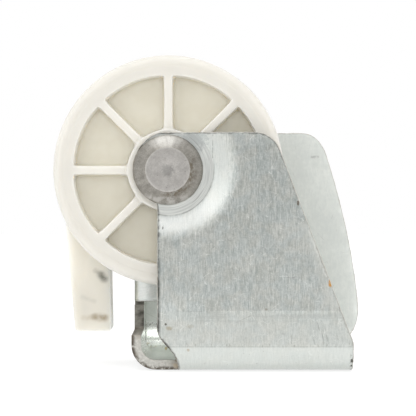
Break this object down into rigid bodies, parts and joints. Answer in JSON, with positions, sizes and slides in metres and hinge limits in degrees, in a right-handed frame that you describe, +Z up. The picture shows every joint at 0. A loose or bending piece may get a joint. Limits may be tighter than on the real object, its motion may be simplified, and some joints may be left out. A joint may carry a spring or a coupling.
{
  "type": "sliding door roller",
  "caption": "Spoked plastic wheel on a ball bearing, riveted between dished ears of a bent sheet steel bracket, with a pivoting plastic catch behind it.",
  "frame": {"origin": "on the underside of the bracket's web, straight below the wheel's centre", "axes": "+Z up from the web, +Y along the wheel's axle from the dished front plate to the rear plate, +X from the wheel towards the bracket's open end"},
  "size_m": [0.0646, 0.0357, 0.0641],
  "materials": {
    "galvanised_sheet": "galvanised sheet, faint vertical rolling streaks and soft spangle, worn brown at the sheared edges",
    "rivet_steel": "plain steel, peened and dull, rough on the cone of the head",
    "spacer_steel": "plain turned or stamped steel",
    "white_nylon": "moulded off-white nylon, slightly translucent in the thin web",
    "bearing_steel": "ground bearing steel",
    "cage_steel": "pressed steel",
    "shield_steel": "pressed steel shield",
    "ball_steel": "polished",
    "ivory_nylon": "moulded ivory nylon with scuffs"
  },
  "bodies": {
    "frame": {"bracket": "galvanised_sheet", "axle_rivet": "rivet_steel", "front_spacer": "spacer_steel", "rear_spacer": "spacer_steel", "bearing_inner_ring": "bearing_steel", "catch_washer": "spacer_steel", "catch_wave_washer": "spacer_steel", "catch_rivet": "rivet_steel"},
    "wheel": {"wheel": "white_nylon", "bearing_outer_ring": "bearing_steel", "bearing_front_shield": "shield_steel", "bearing_rear_shield": "shield_steel"},
    "cage": {"bearing_cage": "cage_steel"},
    "catch": {"catch_lever": "ivory_nylon"},
    "ball_1": {"bearing_ball_1": "ball_steel"},
    "ball_2": {"bearing_ball_2": "ball_steel"},
    "ball_3": {"bearing_ball_3": "ball_steel"},
    "ball_4": {"bearing_ball_4": "ball_steel"},
    "ball_5": {"bearing_ball_5": "ball_steel"},
    "ball_6": {"bearing_ball_6": "ball_steel"},
    "ball_7": {"bearing_ball_7": "ball_steel"},
    "ball_8": {"bearing_ball_8": "ball_steel"}
  },
  "joints": [
    {"name": "wheel_spin", "type": "hinge", "parent": "frame", "child": "wheel", "pos_m": [0, 0, 0.0406], "axis": [0, 1, 0], "continuous": true},
    {"name": "cage_spin", "type": "hinge", "parent": "frame", "child": "cage", "pos_m": [0, 0, 0.0406], "axis": [0, 1, 0], "continuous": true},
    {"name": "catch_pivot", "type": "hinge", "parent": "frame", "child": "catch", "pos_m": [-0.0176, 0, 0.033], "axis": [0, 1, 0], "range_deg": [0, 90]},
    {"name": "ball_1_roll", "type": "hinge", "parent": "cage", "child": "ball_1", "pos_m": [0.00439, 0, 0.04242], "axis": [0, 1, 0], "continuous": true},
    {"name": "ball_2_roll", "type": "hinge", "parent": "cage", "child": "ball_2", "pos_m": [0.00182, 0, 0.04499], "axis": [0, 1, 0], "continuous": true},
    {"name": "ball_3_roll", "type": "hinge", "parent": "cage", "child": "ball_3", "pos_m": [-0.00182, 0, 0.04499], "axis": [0, 1, 0], "continuous": true},
    {"name": "ball_4_roll", "type": "hinge", "parent": "cage", "child": "ball_4", "pos_m": [-0.00439, 0, 0.04242], "axis": [0, 1, 0], "continuous": true},
    {"name": "ball_5_roll", "type": "hinge", "parent": "cage", "child": "ball_5", "pos_m": [-0.00439, 0, 0.03878], "axis": [0, 1, 0], "continuous": true},
    {"name": "ball_6_roll", "type": "hinge", "parent": "cage", "child": "ball_6", "pos_m": [-0.00182, 0, 0.03621], "axis": [0, 1, 0], "continuous": true},
    {"name": "ball_7_roll", "type": "hinge", "parent": "cage", "child": "ball_7", "pos_m": [0.00182, 0, 0.03621], "axis": [0, 1, 0], "continuous": true},
    {"name": "ball_8_roll", "type": "hinge", "parent": "cage", "child": "ball_8", "pos_m": [0.00439, 0, 0.03878], "axis": [0, 1, 0], "continuous": true}
  ],
  "couplings": [
    {"joint": "cage_spin", "follows": "wheel_spin", "ratio": 0.6},
    {"joint": "ball_1_roll", "follows": "wheel_spin", "ratio": 2.4},
    {"joint": "ball_2_roll", "follows": "wheel_spin", "ratio": 2.4},
    {"joint": "ball_3_roll", "follows": "wheel_spin", "ratio": 2.4},
    {"joint": "ball_4_roll", "follows": "wheel_spin", "ratio": 2.4},
    {"joint": "ball_5_roll", "follows": "wheel_spin", "ratio": 2.4},
    {"joint": "ball_6_roll", "follows": "wheel_spin", "ratio": 2.4},
    {"joint": "ball_7_roll", "follows": "wheel_spin", "ratio": 2.4},
    {"joint": "ball_8_roll", "follows": "wheel_spin", "ratio": 2.4}
  ]
}
